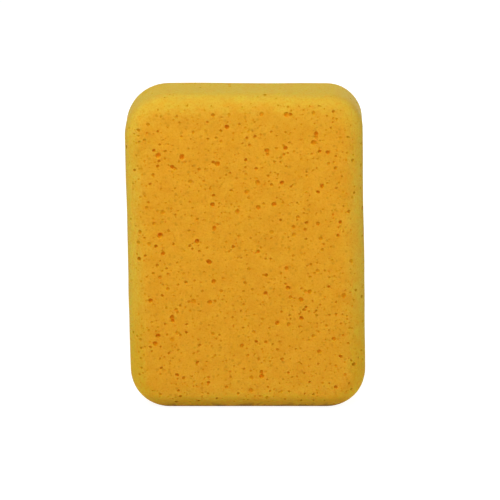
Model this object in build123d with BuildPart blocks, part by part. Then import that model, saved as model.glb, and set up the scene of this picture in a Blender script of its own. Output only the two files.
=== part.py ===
"""Cleaning sponge: one block of open-cell foam that stands on its short end.

The block is cut from a slab of foam, so it is a single piece. It has two large flat faces, a rounded
rectangular outline cut a little out of square, and edges rounded over where the outline meets the faces.

Frame: +Z runs up the block's length, X across its width and Y through its thickness, with the front
face towards -Y. The origin is the middle of the end that the block stands on. Sizes are millimetres.
"""

import os

from build123d import *

# Driving dimensions
LENGTH = 190.5
WIDTH = 139.7
THICKNESS = 50.8
SIDE_LEAN = 3.2  # how far the standing end sits towards +X from the top end
BASE_CORNER_RADIUS = 23.0
FULL_CORNER_RADIUS = 25.0  # the top corner on the -X side, which is cut fuller than the rest
TIGHT_CORNER_RADIUS = 20.5  # the top corner on the +X side, which is cut tighter than the rest
EDGE_RADIUS = 12.0

half_width = WIDTH / 2
half_lean = SIDE_LEAN / 2
corners = {
    (half_lean - half_width, 0): BASE_CORNER_RADIUS,
    (half_lean + half_width, 0): BASE_CORNER_RADIUS,
    (half_width - half_lean, LENGTH): TIGHT_CORNER_RADIUS,
    (-half_width - half_lean, LENGTH): FULL_CORNER_RADIUS,
}

with BuildPart() as sponge:
    # The outline stands in the plane of the rear face and is drawn forwards through the thickness.
    with BuildSketch(Plane.XZ.offset(-THICKNESS / 2)) as outline:
        with BuildLine():
            Polyline(*corners, close=True)
        make_face()
        for corner, corner_radius in corners.items():
            fillet(outline.vertices().sort_by_distance(corner)[0], radius=corner_radius)
    extrude(amount=THICKNESS)

    # The rim of each large face is rounded over.
    large_faces = sponge.faces().filter_by(Axis.Y)
    fillet(large_faces.edges(), radius=EDGE_RADIUS)

sponge.part.label = "sponge"

os.makedirs("parts", exist_ok=True)
export_step(sponge.part, "parts/sponge.step")
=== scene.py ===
"""Cleaning sponge: the looks of one block of yellow open-cell foam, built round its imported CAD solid.

Everything is in metres in the part's own frame: +Z up the block, X across it, the front face towards -Y.
"""

import math
import random

import bmesh
import bpy
import numpy as np
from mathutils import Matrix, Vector, noise
from mathutils.bvhtree import BVHTree
from mathutils.geometry import barycentric_transform, delaunay_2d_cdt
from mathutils.kdtree import KDTree


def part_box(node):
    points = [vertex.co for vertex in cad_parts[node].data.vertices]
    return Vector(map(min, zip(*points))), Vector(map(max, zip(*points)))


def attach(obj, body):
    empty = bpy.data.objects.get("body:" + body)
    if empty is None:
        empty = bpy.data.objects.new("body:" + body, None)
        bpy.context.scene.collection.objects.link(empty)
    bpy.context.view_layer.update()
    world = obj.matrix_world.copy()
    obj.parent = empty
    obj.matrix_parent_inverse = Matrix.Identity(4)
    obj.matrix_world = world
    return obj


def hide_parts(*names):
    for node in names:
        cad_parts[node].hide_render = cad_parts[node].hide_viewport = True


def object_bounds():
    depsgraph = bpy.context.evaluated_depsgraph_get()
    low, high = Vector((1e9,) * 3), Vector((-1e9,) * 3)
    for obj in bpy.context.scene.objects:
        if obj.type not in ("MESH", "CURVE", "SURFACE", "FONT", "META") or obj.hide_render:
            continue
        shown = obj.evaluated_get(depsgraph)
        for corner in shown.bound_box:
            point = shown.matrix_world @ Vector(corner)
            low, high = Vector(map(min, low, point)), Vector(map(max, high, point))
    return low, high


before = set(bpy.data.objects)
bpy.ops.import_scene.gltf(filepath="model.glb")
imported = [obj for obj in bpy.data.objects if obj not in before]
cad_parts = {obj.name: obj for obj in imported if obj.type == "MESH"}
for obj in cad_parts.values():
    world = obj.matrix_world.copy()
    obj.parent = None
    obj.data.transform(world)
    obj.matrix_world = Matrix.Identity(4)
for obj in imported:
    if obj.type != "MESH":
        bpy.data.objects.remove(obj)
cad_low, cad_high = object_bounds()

MM = 0.001
NODE = "sponge"

# The block, as in the CAD
BASE_CORNER_RADIUS = 23 * MM
FULL_CORNER_RADIUS = 25 * MM
TIGHT_CORNER_RADIUS = 20.5 * MM
EDGE_RADIUS = 12 * MM
SIDE_LEAN = 3.2 * MM

# The base mesh
OUTLINE_STEP = 3.4 * MM
CORNER_STEPS = 14
ROUNDING_STEPS = 8
BAND_STEPS = 8
CAP_STEP = 4.5 * MM
CAP_JITTER = 0.2  # as a share of the step
CAP_RIM_GAP = 0.6  # as a share of the step
CAP_TOLERANCE = 1e-7  # metres between points that count as one

# The skin's unevenness: heights in mm, lengths of its waves, and how far above the floor it is full
SLOW_HEIGHT = 0.42
QUICK_HEIGHT = 0.13
SLOW_WAVE = 46 * MM
QUICK_WAVE = 15 * MM
WAVE_RISE = 9 * MM

# The charts that the skin is laid flat in: the two large faces, and the band between them in two halves
FRONT, REAR, BAND_A, BAND_B = range(4)

# Camera and light
CAMERA_DISTANCE = 2.4
CAMERA_ELEVATION = math.radians(14.4)
FOCAL_LENGTH_MM = 290.9
SENSOR_WIDTH_MM = 36
CLIP_END = 60
AIM_RIGHT = 2.4 * MM
AIM_DOWN = 3.0 * MM
FLOOR_REACH = 30
FLOOR_GREY = 0.25
FLOOR_GLOW = 0.93
WORLD_LIGHT = 0.3

# Each lamp: its name, its place from the block's middle, its diameter in metres and its power in watts
LAMPS = [
    ("key", Vector((-0.15, -0.56, 0.81)), 1.1, 12.6),
    ("back", Vector((0.25, 1.1, 0.0)), 0.5, 6.0),
    ("fill", Vector((1.15, -0.05, 0.2)), 0.8, 0.55),
]


# ---------------------------------------------------------------- camera, floor and light


def look_along(obj, target):
    """Turns a camera or lamp to face the target."""
    obj.rotation_euler = (target - obj.location).to_track_quat("-Z", "Y").to_euler()


def make_camera(middle):
    data = bpy.data.cameras.new("camera")
    data.lens = FOCAL_LENGTH_MM
    data.sensor_width = SENSOR_WIDTH_MM
    data.clip_end = CLIP_END
    camera = bpy.data.objects.new("camera", data)
    bpy.context.scene.collection.objects.link(camera)
    aim = middle + Vector((AIM_RIGHT, 0, -AIM_DOWN))
    back = Vector((0, -math.cos(CAMERA_ELEVATION), math.sin(CAMERA_ELEVATION)))
    camera.location = aim + back * CAMERA_DISTANCE
    look_along(camera, aim)
    bpy.context.scene.camera = camera


def make_lamp(name, place, size, power, target):
    data = bpy.data.lights.new(name, "AREA")
    data.shape = "DISK"
    data.size = size
    data.energy = power
    lamp = bpy.data.objects.new(name, data)
    bpy.context.scene.collection.objects.link(lamp)
    lamp.location = place
    lamp.visible_camera = False
    look_along(lamp, target)


def make_floor():
    mesh = bpy.data.meshes.new("floor")
    corners = [(x * FLOOR_REACH, y * FLOOR_REACH, 0) for x, y in ((-1, -1), (1, -1), (1, 1), (-1, 1))]
    mesh.from_pydata(corners, [], [(0, 1, 2, 3)])
    floor = bpy.data.objects.new("floor", mesh)
    bpy.context.scene.collection.objects.link(floor)
    material = bpy.data.materials.new("floor_white")
    material.use_nodes = True
    shader = material.node_tree.nodes["Principled BSDF"]
    shader.inputs["Base Color"].default_value = (FLOOR_GREY, FLOOR_GREY, FLOOR_GREY, 1)
    shader.inputs["Roughness"].default_value = 1.0
    shader.inputs["Specular IOR Level"].default_value = 0.0
    shader.inputs["Emission Color"].default_value = (1, 1, 1, 1)
    shader.inputs["Emission Strength"].default_value = FLOOR_GLOW
    mesh.materials.append(material)


def make_world():
    """A white backdrop that lights the scene more weakly than it shows."""
    world = bpy.data.worlds.new("studio")
    bpy.context.scene.world = world
    world.use_nodes = True
    tree = world.node_tree
    background = tree.nodes["Background"]
    background.inputs["Color"].default_value = (1, 1, 1, 1)
    rays = tree.nodes.new("ShaderNodeLightPath")
    strength = tree.nodes.new("ShaderNodeMapRange")
    strength.inputs["To Min"].default_value = WORLD_LIGHT
    strength.inputs["To Max"].default_value = 1.0
    tree.links.new(rays.outputs["Is Camera Ray"], strength.inputs["Value"])
    tree.links.new(strength.outputs["Result"], background.inputs["Strength"])


def make_studio(middle):
    make_floor()
    make_world()
    for name, offset, size, power in LAMPS:
        make_lamp(name, middle + offset, size, power, middle)
    bpy.context.scene.view_settings.view_transform = "Standard"


# ---------------------------------------------------------------- the plain block


def rounded_outline(low, high):
    """The block from the front: points (x, z) and outward normals of a rounded, leaning rectangle."""
    height = high.z - low.z
    half = (high.x - low.x - SIDE_LEAN) / 2
    lean = SIDE_LEAN / 2
    corners = [
        Vector((half + lean, 0)),
        Vector((half - lean, height)),
        Vector((-half - lean, height)),
        Vector((lean - half, 0)),
    ]
    radii = [BASE_CORNER_RADIUS, TIGHT_CORNER_RADIUS, FULL_CORNER_RADIUS, BASE_CORNER_RADIUS]
    count = len(corners)
    arcs = []
    for i, (corner, radius) in enumerate(zip(corners, radii)):
        before = (corners[i - 1] - corner).normalized()
        after = (corners[(i + 1) % count] - corner).normalized()
        opening = before.angle(after)
        centre = corner + (before + after).normalized() * radius / math.sin(opening / 2)
        start_normal = Vector((-before.y, before.x))
        turn = math.pi - opening
        arcs.append((centre, radius, start_normal, turn))
    points, normals = [], []
    for i, (centre, radius, start_normal, turn) in enumerate(arcs):
        start = math.atan2(start_normal.y, start_normal.x)
        for k in range(CORNER_STEPS + 1):
            angle = start + turn * k / CORNER_STEPS
            normal = Vector((math.cos(angle), math.sin(angle)))
            points.append(centre + normal * radius)
            normals.append(normal)
        next_centre, next_radius, next_normal, _ = arcs[(i + 1) % count]
        run_start = points[-1].copy()
        run = next_centre + next_normal * next_radius - run_start
        steps = max(1, round(run.length / OUTLINE_STEP))
        for k in range(1, steps):
            points.append(run_start + run * k / steps)
            normals.append(next_normal.copy())
    # The corners take a little off the widest place, so the outline is spread to the CAD box's width.
    widest = max(p.x for p in points)
    for p in points:
        p.x *= high.x / widest
    return points, normals


def profile(thickness):
    """(inset from the outline, y) from the rim of the rear flat round to the rim of the front flat."""
    flat = thickness / 2 - EDGE_RADIUS
    quarter = [math.pi / 2 * k / ROUNDING_STEPS for k in range(ROUNDING_STEPS + 1)]
    rear = [(EDGE_RADIUS * (1 - math.cos(a)), flat + EDGE_RADIUS * math.sin(a)) for a in reversed(quarter)]
    band = [(0.0, flat - 2 * flat * k / BAND_STEPS) for k in range(1, BAND_STEPS)]
    front = [(inset, -y) for inset, y in reversed(rear)]
    return rear + band + front


def cap_triangles(rim):
    """The points of a flat face, with its rim's own points first, and the triangles between them."""
    low_x = min(p.x for p in rim)
    high_x = max(p.x for p in rim)
    low_z = min(p.y for p in rim)
    high_z = max(p.y for p in rim)
    dice = random.Random(5)
    points = [p.copy() for p in rim]
    tree = KDTree(len(rim))
    for i, p in enumerate(rim):
        tree.insert((p.x, p.y, 0), i)
    tree.balance()
    row = 0
    z = low_z + CAP_STEP / 2
    while z < high_z:
        x = low_x + CAP_STEP * (0.5 if row % 2 else 1.0)
        while x < high_x:
            aside = dice.uniform(-CAP_JITTER, CAP_JITTER) * CAP_STEP
            above = dice.uniform(-CAP_JITTER, CAP_JITTER) * CAP_STEP
            spot = Vector((x + aside, z + above))
            if tree.find((spot.x, spot.y, 0))[2] > CAP_STEP * CAP_RIM_GAP and inside(spot, rim):
                points.append(spot)
            x += CAP_STEP
        z += CAP_STEP
        row += 1
    edges = [(i, (i + 1) % len(rim)) for i in range(len(rim))]
    found = delaunay_2d_cdt(points, edges, [list(range(len(rim)))], 1, CAP_TOLERANCE)
    assert len(found[0]) == len(points)
    return [Vector(p) for p in found[0]], [list(f) for f in found[2]]


def inside(spot, polygon):
    """Whether a point is inside a convex outline that runs anticlockwise."""
    for a, b in zip(polygon, polygon[1:] + polygon[:1]):
        if (b - a).cross(spot - a) < 0:
            return False
    return True


class Chart:
    """A stretch of the block's skin: its triangles in space, and where their corners lie when it is flat."""

    def __init__(self):
        self.places = []
        self.flats = []
        self.triangles = []

    def add(self, places, flats):
        """Adds a convex face, given its corners in space and on the flat."""
        first = len(self.places)
        self.places += places
        self.flats += flats
        self.triangles += [(first, first + k, first + k + 1) for k in range(1, len(places) - 1)]

    def close(self):
        """Readies the chart for finding places, once all its faces are in."""
        self.tree = BVHTree.FromPolygons(self.places, self.triangles)

    def find(self, place):
        """The nearest point of the skin: its place, its outward normal and its place on the flat."""
        near, normal, index, _ = self.tree.find_nearest(place)
        a, b, c = self.triangles[index]
        in_space = [self.places[k] for k in (a, b, c)]
        when_flat = [self.flats[k] for k in (a, b, c)]
        return near, normal, barycentric_transform(near, *in_space, *when_flat)


def waviness(place, normal, low):
    """How far the soft skin stands off the true block at a place, which is nothing down on the floor."""
    slow = noise.noise(place / SLOW_WAVE + Vector((3.1, 7.7, 1.9)))
    quick = noise.noise(place / QUICK_WAVE + Vector((9.4, 2.2, 5.3)))
    rise = min(1.0, max(0.0, (place.z - low.z) / WAVE_RISE))
    return normal * (SLOW_HEIGHT * slow + QUICK_HEIGHT * quick) * MM * rise


def inset_angle(inset):
    """The sine of the angle that the rounding has turned through, that far in from the outline."""
    return math.sqrt(max(0.0, 1 - (1 - inset / EDGE_RADIUS) ** 2))


def ring_points(outline, normals, rings, low, middle_y):
    """Where the points of the rings stand, and which way the skin faces at each."""
    places, outward = [], []
    for inset, y in rings:
        across = math.copysign(min(1.0, max(0.0, inset_angle(inset))), y)
        side = math.sqrt(1 - across * across)
        for point, normal in zip(outline, normals):
            spot = point - normal * inset
            places.append(Vector((spot.x, middle_y + y, low.z + spot.y)))
            outward.append(Vector((normal.x * side, across, normal.y * side)))
    return places, outward


class Layout:
    """How the rings lie on the charts. Each large face's chart takes in the nearer half of its rounding."""

    SEAM = ROUNDING_STEPS // 2
    ARC_STEP = EDGE_RADIUS * math.pi / 2 / ROUNDING_STEPS

    def __init__(self, outline, normals, rings):
        self.normals = normals
        self.around = len(outline)
        self.last = len(rings) - 1
        self.rim = [point - normal * EDGE_RADIUS for point, normal in zip(outline, normals)]
        self.lengths = [0.0]
        for a, b in zip(outline, outline[1:] + outline[:1]):
            self.lengths.append(self.lengths[-1] + (b - a).length)
        half_length = self.lengths[-1] / 2
        self.half_way = min(range(self.around), key=lambda k: abs(self.lengths[k] - half_length))
        heights = [0.0]
        for (inset_a, y_a), (inset_b, y_b) in zip(rings, rings[1:]):
            heights.append(heights[-1] + math.hypot(inset_a - inset_b, y_a - y_b))
        self.band_heights = [h - heights[self.SEAM] for h in heights]

    def chart(self, ring, k):
        """The chart of the face that runs from point k of a ring to the next point and the next ring."""
        if ring < self.SEAM:
            return REAR
        if ring >= self.last - self.SEAM:
            return FRONT
        return BAND_A if k < self.half_way else BAND_B

    def spot(self, ring, k, chart):
        """Where point k of a ring lies on a chart."""
        rim, normal = self.rim[k % self.around], self.normals[k % self.around]
        if chart == FRONT:
            spot = rim + normal * self.ARC_STEP * (self.last - ring)
            return Vector((spot.x, spot.y, 0))
        if chart == REAR:
            spot = rim + normal * self.ARC_STEP * ring
            return Vector((-spot.x, spot.y, 0))
        start = self.lengths[self.half_way] if chart == BAND_B else 0.0
        return Vector((self.lengths[k] - start, self.band_heights[ring], 0))


def make_block(low, high):
    """The plain block before its pores: its points, its faces, each face's chart number, and the charts."""
    outline, normals = rounded_outline(low, high)
    rings = profile(high.y - low.y)
    layout = Layout(outline, normals, rings)
    around = len(outline)
    middle_y = (low.y + high.y) / 2
    places, outward = ring_points(outline, normals, rings, low, middle_y)
    cap_points, cap_faces = cap_triangles(layout.rim)
    inner = cap_points[around:]
    first_rear = len(places)
    first_front = first_rear + len(inner)
    for y in (high.y, low.y):
        places += [Vector((p.x, y, low.z + p.y)) for p in inner]
        outward += [Vector((0, math.copysign(1, y - middle_y), 0)) for _ in inner]
    places = [p + waviness(p, n, low) for p, n in zip(places, outward)]

    faces, face_charts = [], []
    charts = [Chart() for _ in range(4)]

    def add_face(corners, flats, chart):
        faces.append(corners)
        face_charts.append(chart)
        charts[chart].add([places[c] for c in corners], flats)

    for ring in range(layout.last):
        for k in range(around):
            chart = layout.chart(ring, k)
            quad = [(ring, k), (ring, k + 1), (ring + 1, k + 1), (ring + 1, k)]
            corners = [r * around + c % around for r, c in quad]
            add_face(corners, [layout.spot(r, c, chart) for r, c in quad], chart)
    for face in cap_faces:
        spots = [cap_points[c] for c in face]
        rear = [c if c < around else first_rear + c - around for c in face]
        front = [layout.last * around + c if c < around else first_front + c - around for c in face]
        add_face(rear[::-1], [Vector((-p.x, p.y, 0)) for p in spots[::-1]], REAR)
        add_face(front, [Vector((p.x, p.y, 0)) for p in spots], FRONT)
    for chart in charts:
        chart.close()
    return places, faces, face_charts, charts


# ---------------------------------------------------------------- pores


# The shape of a pore, as shares of its radius
STRETCH = (0.9, 1.12)
DEPTH_SPREAD = (0.85, 1.15)
LOBE_DEPTH = 0.06

# How deep a pore's middle lies below the skin, as a share of its radius. A negative depth is above the skin.
SMALL_PORE = 1.0 * MM  # a pore under this radius takes the first range
SMALL_SUNK = (-0.68, -0.08)
LARGE_SUNK = (-0.55, 0.1)


class Pore:
    """A rounded hollow that opens on the skin. Its own axes are two along the skin and the outward normal."""

    def __init__(self, mouth, normal, chart, radius, dice):
        self.mouth = mouth
        self.normal = normal.copy()
        self.chart = chart
        self.radius = radius
        turn = dice.uniform(0, 2 * math.pi)
        helper = Vector((0, 0, 1)) if abs(normal.z) < 0.8 else Vector((1, 0, 0))
        side = normal.cross(helper).normalized()
        up = normal.cross(side)
        self.across = side * math.cos(turn) + up * math.sin(turn)
        self.along = normal.cross(self.across)
        stretch = dice.uniform(*STRETCH)
        self.radii = (radius * stretch, radius / stretch, radius * dice.uniform(*DEPTH_SPREAD))
        self.sunk = dice.uniform(*(SMALL_SUNK if radius < SMALL_PORE else LARGE_SUNK)) * radius
        self.lobes = (dice.uniform(0, 2 * math.pi), dice.uniform(0.0, LOBE_DEPTH))
        self.centre = mouth - normal * self.sunk

    def world(self, x, y, z):
        """The place of a point given in the pore's own axes, in units of its radii."""
        a, b, c = self.radii
        phase, depth = self.lobes
        swell = 1 + depth * math.cos(3 * math.atan2(y, x) + phase)
        aside = self.centre + self.across * (x * a * swell)
        return aside + self.along * (y * b * swell) + self.normal * (z * c)

    def own(self, place):
        """The angle from the pore's floor and the direction round it of a place on its wall."""
        off = place - self.centre
        a, b, c = self.radii
        x, y, z = off.dot(self.across) / a, off.dot(self.along) / b, off.dot(self.normal) / c
        return math.atan2(math.hypot(x, y), -z), math.atan2(y, x)


def skin_samples(charts, count, dice):
    """Random places on the skin, spread evenly by area: (place, normal, chart number)."""
    stock = []
    areas = []
    for number, chart in enumerate(charts):
        for a, b, c in chart.triangles:
            pa, pb, pc = chart.places[a], chart.places[b], chart.places[c]
            stock.append((pa, pb, pc, number))
            areas.append((pb - pa).cross(pc - pa).length)
    picks = dice.choices(stock, weights=areas, k=count)
    samples = []
    for pa, pb, pc, number in picks:
        u, v = dice.random(), dice.random()
        if u + v > 1:
            u, v = 1 - u, 1 - v
        place = pa + (pb - pa) * u + (pc - pa) * v
        samples.append((place, (pb - pa).cross(pc - pa).normalized(), number))
    return samples


class Crowd:
    """Pores by place, to see whether a new one would meet them."""

    CELL = 4 * MM
    REACH = 1.12  # how far a pore's mouth may reach, over its radius

    def __init__(self):
        self.cells = {}

    def key(self, place):
        return tuple(int(math.floor(v / self.CELL)) for v in place)

    def add(self, pore):
        self.cells.setdefault(self.key(pore.mouth), []).append(pore)

    def near(self, place):
        """The pores in the cell of a place and in the cells round it."""
        kx, ky, kz = self.key(place)
        for dx in (-1, 0, 1):
            for dy in (-1, 0, 1):
                for dz in (-1, 0, 1):
                    yield from self.cells.get((kx + dx, ky + dy, kz + dz), ())

    def free(self, place, radius, wall, but=None):
        """Whether a pore here would leave a wall to every other pore, but for one that it may meet."""
        others = [p for p in self.near(place) if p is not but]
        return all((p.mouth - place).length > (p.radius + radius) * self.REACH + wall for p in others)


# The pores tried on the skin, the largest first: (number, least radius, greatest radius) in mm
PORE_SIZES = [
    (210, 1.35, 1.85),
    (460, 1.0, 1.35),
    (1700, 0.75, 1.0),
    (3100, 0.55, 0.75),
    (2000, 0.4, 0.55),
]
SKIN_SAMPLES = 9000  # more than are tried in all
THIN_WALL = 0.12 * MM
PASS_GAP = 0.02 * MM

# A twin is a smaller pore that breaks into the pore beside it.
TWIN_CHANCE = 0.22
TWIN_LEAST = 0.45 * MM  # the radius below which a pore has no twin
TWIN_SIZE = (0.5, 0.9)
TWIN_NEARNESS = (0.72, 0.95)

# A pore's middle stays this many radii, and this gap more, from every other chart.
SEAM_REACH = 1.25
SEAM_GAP = 0.05 * MM

# The share of pores kept on the top end, and on the narrow sides and the base. It grows to all of them
# over this range of the normal's Y, where the skin turns to a large face.
TOP_KEPT = 0.1
SIDE_KEPT = 0.35
FACING_FROM = 0.7
FACING_RANGE = 0.25


def openness(normal):
    """The share of pores kept where the skin faces that way."""
    least = TOP_KEPT if normal.z > 0.5 else SIDE_KEPT
    return least + (1 - least) * min(1.0, max(0.0, (abs(normal.y) - FACING_FROM) / FACING_RANGE))


def place_pores(charts, samples, dice):
    """Pores at the sampled places, wherever the skin is open enough and there is room."""
    crowd = Crowd()
    pores = []

    def clear_of_seams(place, radius, number):
        others = [chart for chart in charts if chart is not charts[number]]
        return all(other.tree.find_nearest(place)[3] > radius * SEAM_REACH + SEAM_GAP for other in others)

    queue = iter(samples)
    for count, least, most in PORE_SIZES:
        for _ in range(count):
            place, normal, number = next(queue)
            radius = dice.uniform(least, most) * MM
            twin = dice.random() < TWIN_CHANCE
            keep = dice.random() < openness(normal)
            if not keep or not crowd.free(place, radius, THIN_WALL):
                continue
            if not clear_of_seams(place, radius, number):
                continue
            pore = Pore(place, normal, number, radius, dice)
            pores.append(pore)
            crowd.add(pore)
            if not twin or radius < TWIN_LEAST:
                continue
            small = radius * dice.uniform(*TWIN_SIZE)
            angle = dice.uniform(0, 2 * math.pi)
            way = pore.across * math.cos(angle) + pore.along * math.sin(angle)
            beside = place + way * (radius + small) * dice.uniform(*TWIN_NEARNESS)
            near, near_normal, _ = charts[number].find(beside)
            if crowd.free(near, small, THIN_WALL, but=pore) and clear_of_seams(near, small, number):
                pores.append(Pore(near, near_normal, number, small, dice))
                crowd.add(pores[-1])
    return pores


# The cutting ball in unit size: how far its round part goes up, and the tip of the cone that closes it
ROUND_TO = 0.8 * math.pi
CONE_TIP = 1.15

# How finely a pore is cut: (radius in mm that it is over, segments round it, rings up it)
BALL_SIZES = [(1.3, 12, 5), (0.9, 10, 4), (0.6, 8, 4), (0.4, 6, 3), (0.0, 5, 3)]


def ball(segments, rings):
    """A ball in unit size that is round below and a plain cone above, and its faces."""
    points = [(0.0, 0.0, -1.0)]
    for r in range(1, rings + 1):
        angle = ROUND_TO * r / rings
        wide = math.sin(angle)
        for s in range(segments):
            turn = 2 * math.pi * s / segments
            points.append((wide * math.cos(turn), wide * math.sin(turn), -math.cos(angle)))
    points.append((0.0, 0.0, CONE_TIP))
    faces = [(0, 1 + (s + 1) % segments, 1 + s) for s in range(segments)]
    for r in range(rings - 1):
        first, second = 1 + r * segments, 1 + (r + 1) * segments
        for s in range(segments):
            n = (s + 1) % segments
            faces.append((first + s, first + n, second + n, second + s))
    last = 1 + (rings - 1) * segments
    faces += [(last + s, last + (s + 1) % segments, len(points) - 1) for s in range(segments)]
    return points, faces


def ball_for(radius):
    """The segments and rings of the ball for a pore of that radius."""
    return next((segments, rings) for over, segments, rings in BALL_SIZES if radius > over * MM)


def in_passes(pores):
    """The pores, numbered from 1, sorted into passes so that no two in one pass touch."""
    passes = []
    crowds = []
    for number, pore in enumerate(pores, 1):
        for own, crowd in zip(passes, crowds):
            if crowd.free(pore.mouth, pore.radius, PASS_GAP):
                break
        else:
            own, crowd = [], Crowd()
            passes.append(own)
            crowds.append(crowd)
        own.append((number, pore))
        crowd.add(pore)
    return passes


def mesh_object(name, places, faces, charts, pore_numbers):
    """A mesh whose faces know their chart, and their pore's number, which is 0 on the skin."""
    mesh = bpy.data.meshes.new(name)
    mesh.from_pydata(places, [], faces)
    mesh.attributes.new("chart", "INT", "FACE").data.foreach_set("value", charts)
    mesh.attributes.new("pore", "INT", "FACE").data.foreach_set("value", pore_numbers)
    mesh.update()
    obj = bpy.data.objects.new(name, mesh)
    bpy.context.scene.collection.objects.link(obj)
    return obj


def cutter(numbered_pores):
    """One object that holds the balls of these pores."""
    places, faces, charts, numbers = [], [], [], []
    shapes = {}
    for number, pore in numbered_pores:
        kind = ball_for(pore.radius)
        if kind not in shapes:
            shapes[kind] = ball(*kind)
        points, ball_faces = shapes[kind]
        first = len(places)
        places += [pore.world(*p) for p in points]
        faces += [tuple(first + c for c in face) for face in ball_faces]
        charts += [pore.chart] * len(ball_faces)
        numbers += [number] * len(ball_faces)
    return mesh_object("cutter", places, faces, charts, numbers)


def cut(block, tool):
    """Takes the tool's solid out of the block, then removes the tool."""
    step = block.modifiers.new("cut", "BOOLEAN")
    step.operation = "DIFFERENCE"
    step.solver = "MANIFOLD"
    step.object = tool
    bpy.context.view_layer.update()
    graph = bpy.context.evaluated_depsgraph_get()
    mesh = bpy.data.meshes.new_from_object(block.evaluated_get(graph), depsgraph=graph)
    block.modifiers.remove(step)
    old = block.data
    block.data = mesh
    bpy.data.meshes.remove(old)
    spent = tool.data
    bpy.data.objects.remove(tool)
    bpy.data.meshes.remove(spent)


# ---------------------------------------------------------------- the cut mesh


# The side of the square sheet that the charts are laid out on, and the gap between them
SHEET = 316 * MM
SHEET_GAP = 2 * MM

SKIN_TOLERANCE = 0.000004  # a point nearer to the skin than this, in metres, is on it
WALL_REACH = 0.97  # how much of its mouth a pore's wall fills on the map


def read(mesh, name, count):
    """The whole-number values of one of the mesh's attributes."""
    values = np.zeros(count, dtype=np.int32)
    mesh.attributes[name].data.foreach_get("value", values)
    return values


def sheet_origins(charts):
    """Where each chart's lowest corner goes on the square sheet of the map."""
    sizes = []
    for chart in charts:
        xs = [p.x for p in chart.flats]
        ys = [p.y for p in chart.flats]
        sizes.append((min(xs), min(ys), max(xs) - min(xs), max(ys) - min(ys)))
    wide, tall = sizes[FRONT][2], sizes[FRONT][3]
    band = sizes[BAND_A][3]
    corners = {
        FRONT: (SHEET_GAP, SHEET_GAP),
        REAR: (wide + 2 * SHEET_GAP, SHEET_GAP),
        BAND_A: (SHEET_GAP, tall + 2 * SHEET_GAP),
        BAND_B: (SHEET_GAP, tall + band + 3 * SHEET_GAP),
    }
    return {n: Vector((corners[n][0] - sizes[n][0], corners[n][1] - sizes[n][1], 0)) for n in corners}


def finish_mesh(block, charts, pores):
    """Gives the cut mesh its map, its depth below the skin, the skin's turn, and sharp rims at the pores."""
    mesh = block.data
    corner_count, face_count = len(mesh.loops), len(mesh.polygons)
    corner_vert = read(mesh, ".corner_vert", corner_count)
    face_chart = read(mesh, "chart", face_count)
    face_pore = read(mesh, "pore", face_count)
    sides = np.zeros(face_count, dtype=np.int32)
    mesh.polygons.foreach_get("loop_total", sides)
    corner_face = np.repeat(np.arange(face_count), sides)

    found = {}
    origins = sheet_origins(charts)
    uv = np.zeros((corner_count, 2), dtype=np.float32)
    depth = np.zeros(len(mesh.vertices), dtype=np.float32)
    turned = np.zeros(len(mesh.vertices), dtype=np.float32)
    verts = [v.co.copy() for v in mesh.vertices]
    mouths = {}
    for corner in range(corner_count):
        vert = int(corner_vert[corner])
        face = corner_face[corner]
        number = int(face_chart[face])
        if (vert, number) not in found:
            near, normal, flat = charts[number].find(verts[vert])
            found[vert, number] = (flat, (near - verts[vert]).length, normal)
        spot, below, normal = found[vert, number]
        if below > SKIN_TOLERANCE:
            pore_number = int(face_pore[face])
            depth[vert] = below
            if pore_number:
                if pore_number not in mouths:
                    mouths[pore_number] = Mouth(pores[pore_number - 1], charts[number])
                spot = mouths[pore_number].flat(verts[vert])
        turned[vert] = math.acos(min(1.0, abs(normal.y)))
        spot = (spot + origins[number]) / SHEET
        uv[corner] = (spot.x, spot.y)

    mesh.polygons.foreach_set("use_smooth", np.ones(face_count, dtype=bool))
    sharpen_rims(mesh, face_pore[corner_face])
    mesh.attributes.new("depth", "FLOAT", "POINT").data.foreach_set("value", depth)
    mesh.attributes.new("turned", "FLOAT", "POINT").data.foreach_set("value", turned)
    layer = mesh.uv_layers.new(name="OFBake")
    layer.data.foreach_set("uv", uv.ravel())
    mesh.update()


def sharpen_rims(mesh, corner_pore):
    """Marks the rims sharp: the edges between the skin and a pore, or between two pores."""
    corner_edge = read(mesh, ".corner_edge", len(mesh.loops))
    low = np.full(len(mesh.edges), corner_pore.max() + 1)
    high = np.full(len(mesh.edges), -1)
    np.minimum.at(low, corner_edge, corner_pore)
    np.maximum.at(high, corner_edge, corner_pore)
    mesh.attributes.new("sharp_edge", "BOOLEAN", "EDGE").data.foreach_set("value", low != high)


class Mouth:
    """A pore's mouth on a chart, for laying the pore's wall flat inside its own rim."""

    def __init__(self, pore, chart):
        self.pore = pore
        _, _, self.middle = chart.find(pore.mouth)
        step = pore.radius * 0.5
        self.across = (chart.find(pore.mouth + pore.across * step)[2] - self.middle) / step
        self.along = (chart.find(pore.mouth + pore.along * step)[2] - self.middle) / step
        self.rim = math.acos(max(-1.0, min(1.0, -pore.sunk / pore.radii[2])))

    def flat(self, place):
        """Where a place on the pore's wall lies on the chart."""
        angle, turn = self.pore.own(place)
        a, b, _ = self.pore.radii
        phase, lobe = self.pore.lobes
        swell = 1 + lobe * math.cos(3 * turn + phase)
        reach = math.sin(self.rim) * min(WALL_REACH, angle / self.rim) * swell
        across = self.across * (a * reach * math.cos(turn))
        return self.middle + across + self.along * (b * reach * math.sin(turn))


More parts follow.
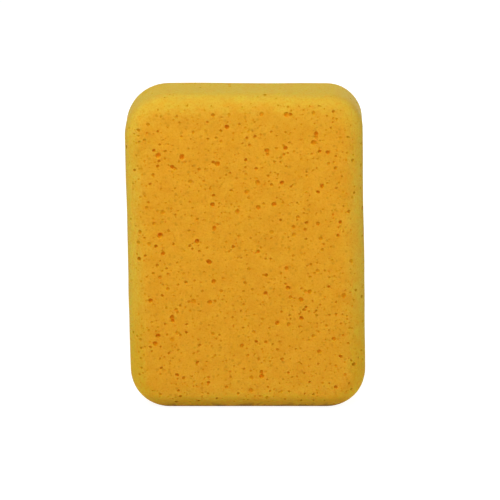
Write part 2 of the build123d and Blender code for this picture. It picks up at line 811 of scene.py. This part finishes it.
def drop_crumbs(block):
    """Keeps the block's one large connected body and removes any crumb that the pores have cut free."""
    bm = bmesh.new()
    bm.from_mesh(block.data)
    unseen = set(bm.verts)
    bodies = []
    while unseen:
        start = unseen.pop()
        body, front = [start], [start]
        while front:
            vert = front.pop()
            for edge in vert.link_edges:
                other = edge.other_vert(vert)
                if other in unseen:
                    unseen.remove(other)
                    body.append(other)
                    front.append(other)
        bodies.append(body)
    bodies.sort(key=len)
    crumbs = [v for body in bodies[:-1] for v in body]
    bmesh.ops.delete(bm, geom=crumbs, context="VERTS")
    bm.to_mesh(block.data)
    bm.free()


def make_sponge():
    low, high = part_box(NODE)
    low, high = Vector(low), Vector(high)
    places, faces, face_charts, charts = make_block(low, high)
    block = mesh_object("foam_block", places, faces, face_charts, [0] * len(faces))
    dice = random.Random(11)
    samples = skin_samples(charts, SKIN_SAMPLES, dice)
    pores = place_pores(charts, samples, dice)
    for numbered in in_passes(pores):
        cut(block, cutter(numbered))
    drop_crumbs(block)
    finish_mesh(block, charts, pores)
    return block


# ---------------------------------------------------------------- materials


def add(tree, kind, **inputs):
    """A node with some of its inputs set: each value is a plain value or another node's socket."""
    node = tree.nodes.new(kind)
    for name, value in inputs.items():
        socket = node.inputs[name.replace("_", " ")]
        if isinstance(value, bpy.types.NodeSocket):
            tree.links.new(value, socket)
        else:
            socket.default_value = value
    return node


def blend(tree, share, first, second):
    """The first colour carried towards the second by a share."""
    node = tree.nodes.new("ShaderNodeMix")
    node.data_type = "RGBA"
    for socket, value in ((node.inputs[0], share), (node.inputs[6], first), (node.inputs[7], second)):
        if isinstance(value, bpy.types.NodeSocket):
            tree.links.new(value, socket)
        else:
            socket.default_value = value
    return node.outputs[2]


def ramp(tree, value, low, high, start=0.0, end=1.0, kind="SMOOTHSTEP"):
    """The value carried smoothly from low..high to start..end."""
    node = tree.nodes.new("ShaderNodeMapRange")
    node.interpolation_type = kind
    tree.links.new(value, node.inputs["Value"])
    for name, number in (("From Min", low), ("From Max", high), ("To Min", start), ("To Max", end)):
        node.inputs[name].default_value = number
    return node.outputs["Result"]


def math_node(tree, kind, first, second):
    node = tree.nodes.new("ShaderNodeMath")
    node.operation = kind
    for socket, value in zip(node.inputs, (first, second)):
        if isinstance(value, bpy.types.NodeSocket):
            tree.links.new(value, socket)
        else:
            socket.default_value = value
    return node.outputs[0]


FACE_COLOUR = (0.625, 0.316, 0.016, 1)
# The closer skin's own yellower colour over the edges and sides, with a painted grazing sheen mixed in
EDGE_SKIN_AND_SHEEN_COLOUR = (0.545, 0.376, 0.032, 1)
# Painted shade on the skin that faces sideways, darker than the edge colour
SIDE_SHADE_COLOUR = (0.47, 0.33, 0.038, 1)
# Painted shade on the rounded skin low down
LOW_SHADE_COLOUR = (0.515, 0.318, 0.01, 1)
PATCH_COLOUR = (0.55, 0.245, 0.007, 1)
GRAIN_COLOUR = (0.49, 0.19, 0.004, 1)
# Painted shade inside the pores: near the mouth, deep down, and in pores over the edges
PORE_SHADE_COLOUR = (0.575, 0.245, 0.003, 1)
DEEP_PORE_SHADE_COLOUR = (0.69, 0.225, 0.001, 1)
EDGE_PORE_SHADE_COLOUR = (0.43, 0.265, 0.006, 1)
# Painted shade of the tiny pores, drawn as dots
DOT_SHADE_COLOUR = (0.43, 0.20, 0.005, 1)
# Painted shade at the base, and a darker painted contact shadow along the foot
BASE_SHADE_COLOUR = (0.235, 0.105, 0.001, 1)
CONTACT_SHADE_COLOUR = (0.11, 0.047, 0.001, 1)


# How far in from the block's ends and sides the skin starts to close and take the edge colour with its
# painted sheen, and where it does so the most
END_START = 26 * MM
SIDE_START = 20 * MM
RIM_END = 6 * MM

# The heights between which painted shade darkens the rounded skin towards the foot
LOW_SHADE_TOP = 90 * MM
LOW_SHADE_FOOT = 8 * MM

# The kinds of dots too small to be cut in the mesh, coloured with the painted shade of tiny pores: (cells in
# a metre, share left out, strength)
DOTS = ((270.0, 0.15, 0.65), (430.0, 0.25, 0.65), (800.0, 0.2, 0.4))
DOT_RADII = (0.34, 0.12)  # where a dot ends and where it is full, as shares of its cell

# The depths below the skin at which a pore's wall has its full share of painted shade, and between which that
# painted shade deepens
WALL_FULL = 0.1 * MM
DEEP_START = 0.3 * MM
DEEP_END = 1.5 * MM

# The painted shade at the base: how high it rises on the large faces and on the narrow sides, and how high
# the darker painted contact shadow at the foot reaches. Both are weaker near the plane half way through the
# block, and grow over this range from it.
BASE_SHADE_ON_FACES = 9 * MM
BASE_SHADE_ON_SIDES = 11 * MM
CONTACT_SHADE_REACH = (2.5 * MM, 6.0 * MM)
BASE_SHADE_GROWS = (7 * MM, 14 * MM)

# How far the skin has turned from a large face where it counts as all edge, and the range over which the
# painted shade of the sideways-facing skin comes in
EDGE_TURN = math.radians(65)
SIDE_TURN = (math.radians(40), math.radians(85))

# Noise, in waves to a metre
PATCH_WAVES = 110.0
GRAIN_WAVES = 900.0
BASE_SHADE_WAVES = 170.0


def attribute(tree, name):
    """A value that the mesh holds at each point."""
    node = tree.nodes.new("ShaderNodeAttribute")
    node.attribute_name = name
    return node.outputs["Fac"]


def noise_at(tree, place, waves, detail, roughness):
    """Noise with that many waves to a metre."""
    node = add(tree, "ShaderNodeTexNoise", Vector=place, Scale=waves, Detail=detail, Roughness=roughness)
    return node.outputs["Fac"]


def skin_colour(tree, where, turned, at_edges):
    """Orange on the large faces, and yellower over the rounded edges and narrow sides, which are closer, with
    a painted grazing sheen there. Painted shade darkens the sideways-facing skin, and the rounded skin
    towards the foot.
    """
    height = where["Z"]
    at_top = ramp(tree, height, cad_high.z - END_START, cad_high.z - RIM_END, 0.0, 0.3)
    at_base = ramp(tree, height, cad_low.z + END_START, cad_low.z + RIM_END, 0.0, 0.2)
    at_ends = math_node(tree, "ADD", at_top, at_base)
    sideways = math_node(tree, "ABSOLUTE", where["X"], 0.0)
    at_sides = ramp(tree, sideways, cad_high.x - SIDE_START, cad_high.x - RIM_END, 0.0, 0.25)
    near_rim = math_node(tree, "MAXIMUM", at_ends, at_sides)
    # Towards the edges and rims: the closer skin's yellower colour, with a painted sheen
    closed_and_sheen = math_node(tree, "MINIMUM", math_node(tree, "ADD", at_edges, near_rim), 1.0)
    colour = blend(tree, closed_and_sheen, FACE_COLOUR, EDGE_SKIN_AND_SHEEN_COLOUR)
    # Painted shade where the skin turns to face sideways
    side_shade = ramp(tree, turned, *SIDE_TURN)
    colour = blend(tree, side_shade, colour, SIDE_SHADE_COLOUR)
    # Painted shade: the rounded skin darker towards the foot
    low_shade = ramp(tree, height, cad_low.z + LOW_SHADE_TOP, cad_low.z + LOW_SHADE_FOOT, 0.0, 0.85)
    low_shade = math_node(tree, "MULTIPLY", low_shade, ramp(tree, at_edges, 0.0, 0.5))
    return blend(tree, low_shade, colour, LOW_SHADE_COLOUR)


def with_patches(tree, colour, place, at_edges):
    """Faint patches up to about a centimetre wide, fainter still over the edges."""
    patches = noise_at(tree, place, PATCH_WAVES, 3.0, 0.72)
    patch = ramp(tree, patches, 0.3, 0.7, 0.0, 0.54)
    patch = math_node(tree, "MULTIPLY", patch, ramp(tree, at_edges, 0.2, 1.0, 1.0, 0.3))
    return blend(tree, patch, colour, PATCH_COLOUR)


def fine_dots(tree, place, at_edges):
    """How much of a dot there is at a place: a pore too small to cut, dipped in the bump and coloured with
    painted shade. They thin out over the edges.
    """
    dot = None
    for scale, left_out, strength in DOTS:
        cells = add(tree, "ShaderNodeTexVoronoi", Vector=place, Scale=scale)
        disc = ramp(tree, cells.outputs["Distance"], *DOT_RADII)
        lot = add(tree, "ShaderNodeSeparateColor", Color=cells.outputs["Color"]).outputs[0]
        these = math_node(tree, "MULTIPLY", disc, ramp(tree, lot, left_out, 1.0, 0.0, strength))
        dot = these if dot is None else math_node(tree, "MAXIMUM", dot, these)
    return math_node(tree, "MULTIPLY", dot, ramp(tree, at_edges, 0.1, 0.6, 1.0, 0.4))


def with_painted_pore_shade(tree, colour, depth, at_edges):
    """Pore walls take painted shade, deeper in colour the further they are below the skin."""
    wall = blend(tree, ramp(tree, depth, DEEP_START, DEEP_END), PORE_SHADE_COLOUR, DEEP_PORE_SHADE_COLOUR)
    wall = blend(tree, at_edges, wall, EDGE_PORE_SHADE_COLOUR)
    return blend(tree, ramp(tree, depth, 0.0, WALL_FULL), colour, wall)


def with_painted_base_shade(tree, colour, place, where, turned):
    """Painted shade on the end that the block stands on, most of all round its rim, with a darker painted
    contact shadow of uneven height at the foot.
    """
    outer = ramp(tree, math_node(tree, "ABSOLUTE", where["Y"], 0.0), *BASE_SHADE_GROWS, 0.35, 1.0)
    base_shade_height = ramp(tree, turned, 0.0, math.pi / 2, BASE_SHADE_ON_FACES, BASE_SHADE_ON_SIDES)
    base_shade = ramp(tree, math_node(tree, "DIVIDE", where["Z"], base_shade_height), 1.0, 0.0, kind="LINEAR")
    colour = blend(tree, math_node(tree, "MULTIPLY", base_shade, outer), colour, BASE_SHADE_COLOUR)
    shade_reach_noise = noise_at(tree, place, BASE_SHADE_WAVES, 2.0, 0.6)
    reach = ramp(tree, shade_reach_noise, 0.4, 0.65, *CONTACT_SHADE_REACH)
    foot = ramp(tree, math_node(tree, "DIVIDE", where["Z"], reach), 1.0, 0.15, 0.0, 0.9)
    return blend(tree, math_node(tree, "MULTIPLY", foot, outer), colour, CONTACT_SHADE_COLOUR)


def make_foam():
    material = bpy.data.materials.new("yellow_foam")
    material.use_nodes = True
    tree = material.node_tree
    shader = tree.nodes["Principled BSDF"]
    place = tree.nodes.new("ShaderNodeTexCoord").outputs["Object"]
    where = add(tree, "ShaderNodeSeparateXYZ", Vector=place).outputs
    turned = attribute(tree, "turned")
    at_edges = ramp(tree, turned, 0.0, EDGE_TURN, kind="LINEAR")
    grain = noise_at(tree, place, GRAIN_WAVES, 3.0, 0.6)
    dot = fine_dots(tree, place, at_edges)

    colour = skin_colour(tree, where, turned, at_edges)
    colour = with_patches(tree, colour, place, at_edges)
    colour = blend(tree, ramp(tree, grain, 0.6, 0.3, 0.0, 0.4), colour, GRAIN_COLOUR)
    # Fine dots: the painted shade of pores too small to cut
    colour = blend(tree, dot, colour, blend(tree, at_edges, DOT_SHADE_COLOUR, EDGE_PORE_SHADE_COLOUR))
    # Painted shade on the pore walls, by depth below the skin
    colour = with_painted_pore_shade(tree, colour, attribute(tree, "depth"), at_edges)
    # Painted shade and painted contact shadow along the base
    colour = with_painted_base_shade(tree, colour, place, where, turned)
    tree.links.new(colour, shader.inputs["Base Color"])

    rough = ramp(tree, grain, 0.3, 0.7, 0.98, 0.82)
    tree.links.new(rough, shader.inputs["Roughness"])
    shader.inputs["Specular IOR Level"].default_value = 0.1
    shader.inputs["Subsurface Weight"].default_value = 0.8
    shader.inputs["Subsurface Radius"].default_value = (3.0, 1.2, 0.3)
    shader.inputs["Subsurface Scale"].default_value = 1.2 * MM

    relief = math_node(tree, "SUBTRACT", grain, math_node(tree, "MULTIPLY", dot, 0.8))
    bump = add(tree, "ShaderNodeBump", Strength=0.6, Distance=0.35 * MM, Height=relief)
    tree.links.new(bump.outputs["Normal"], shader.inputs["Normal"])
    return material


# ---------------------------------------------------------------- the scene

centre = (cad_low + cad_high) / 2
make_camera(centre)
make_studio(centre)

sponge = make_sponge()
sponge.data.materials.clear()
sponge.data.materials.append(make_foam())
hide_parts(NODE)
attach(sponge, "root")
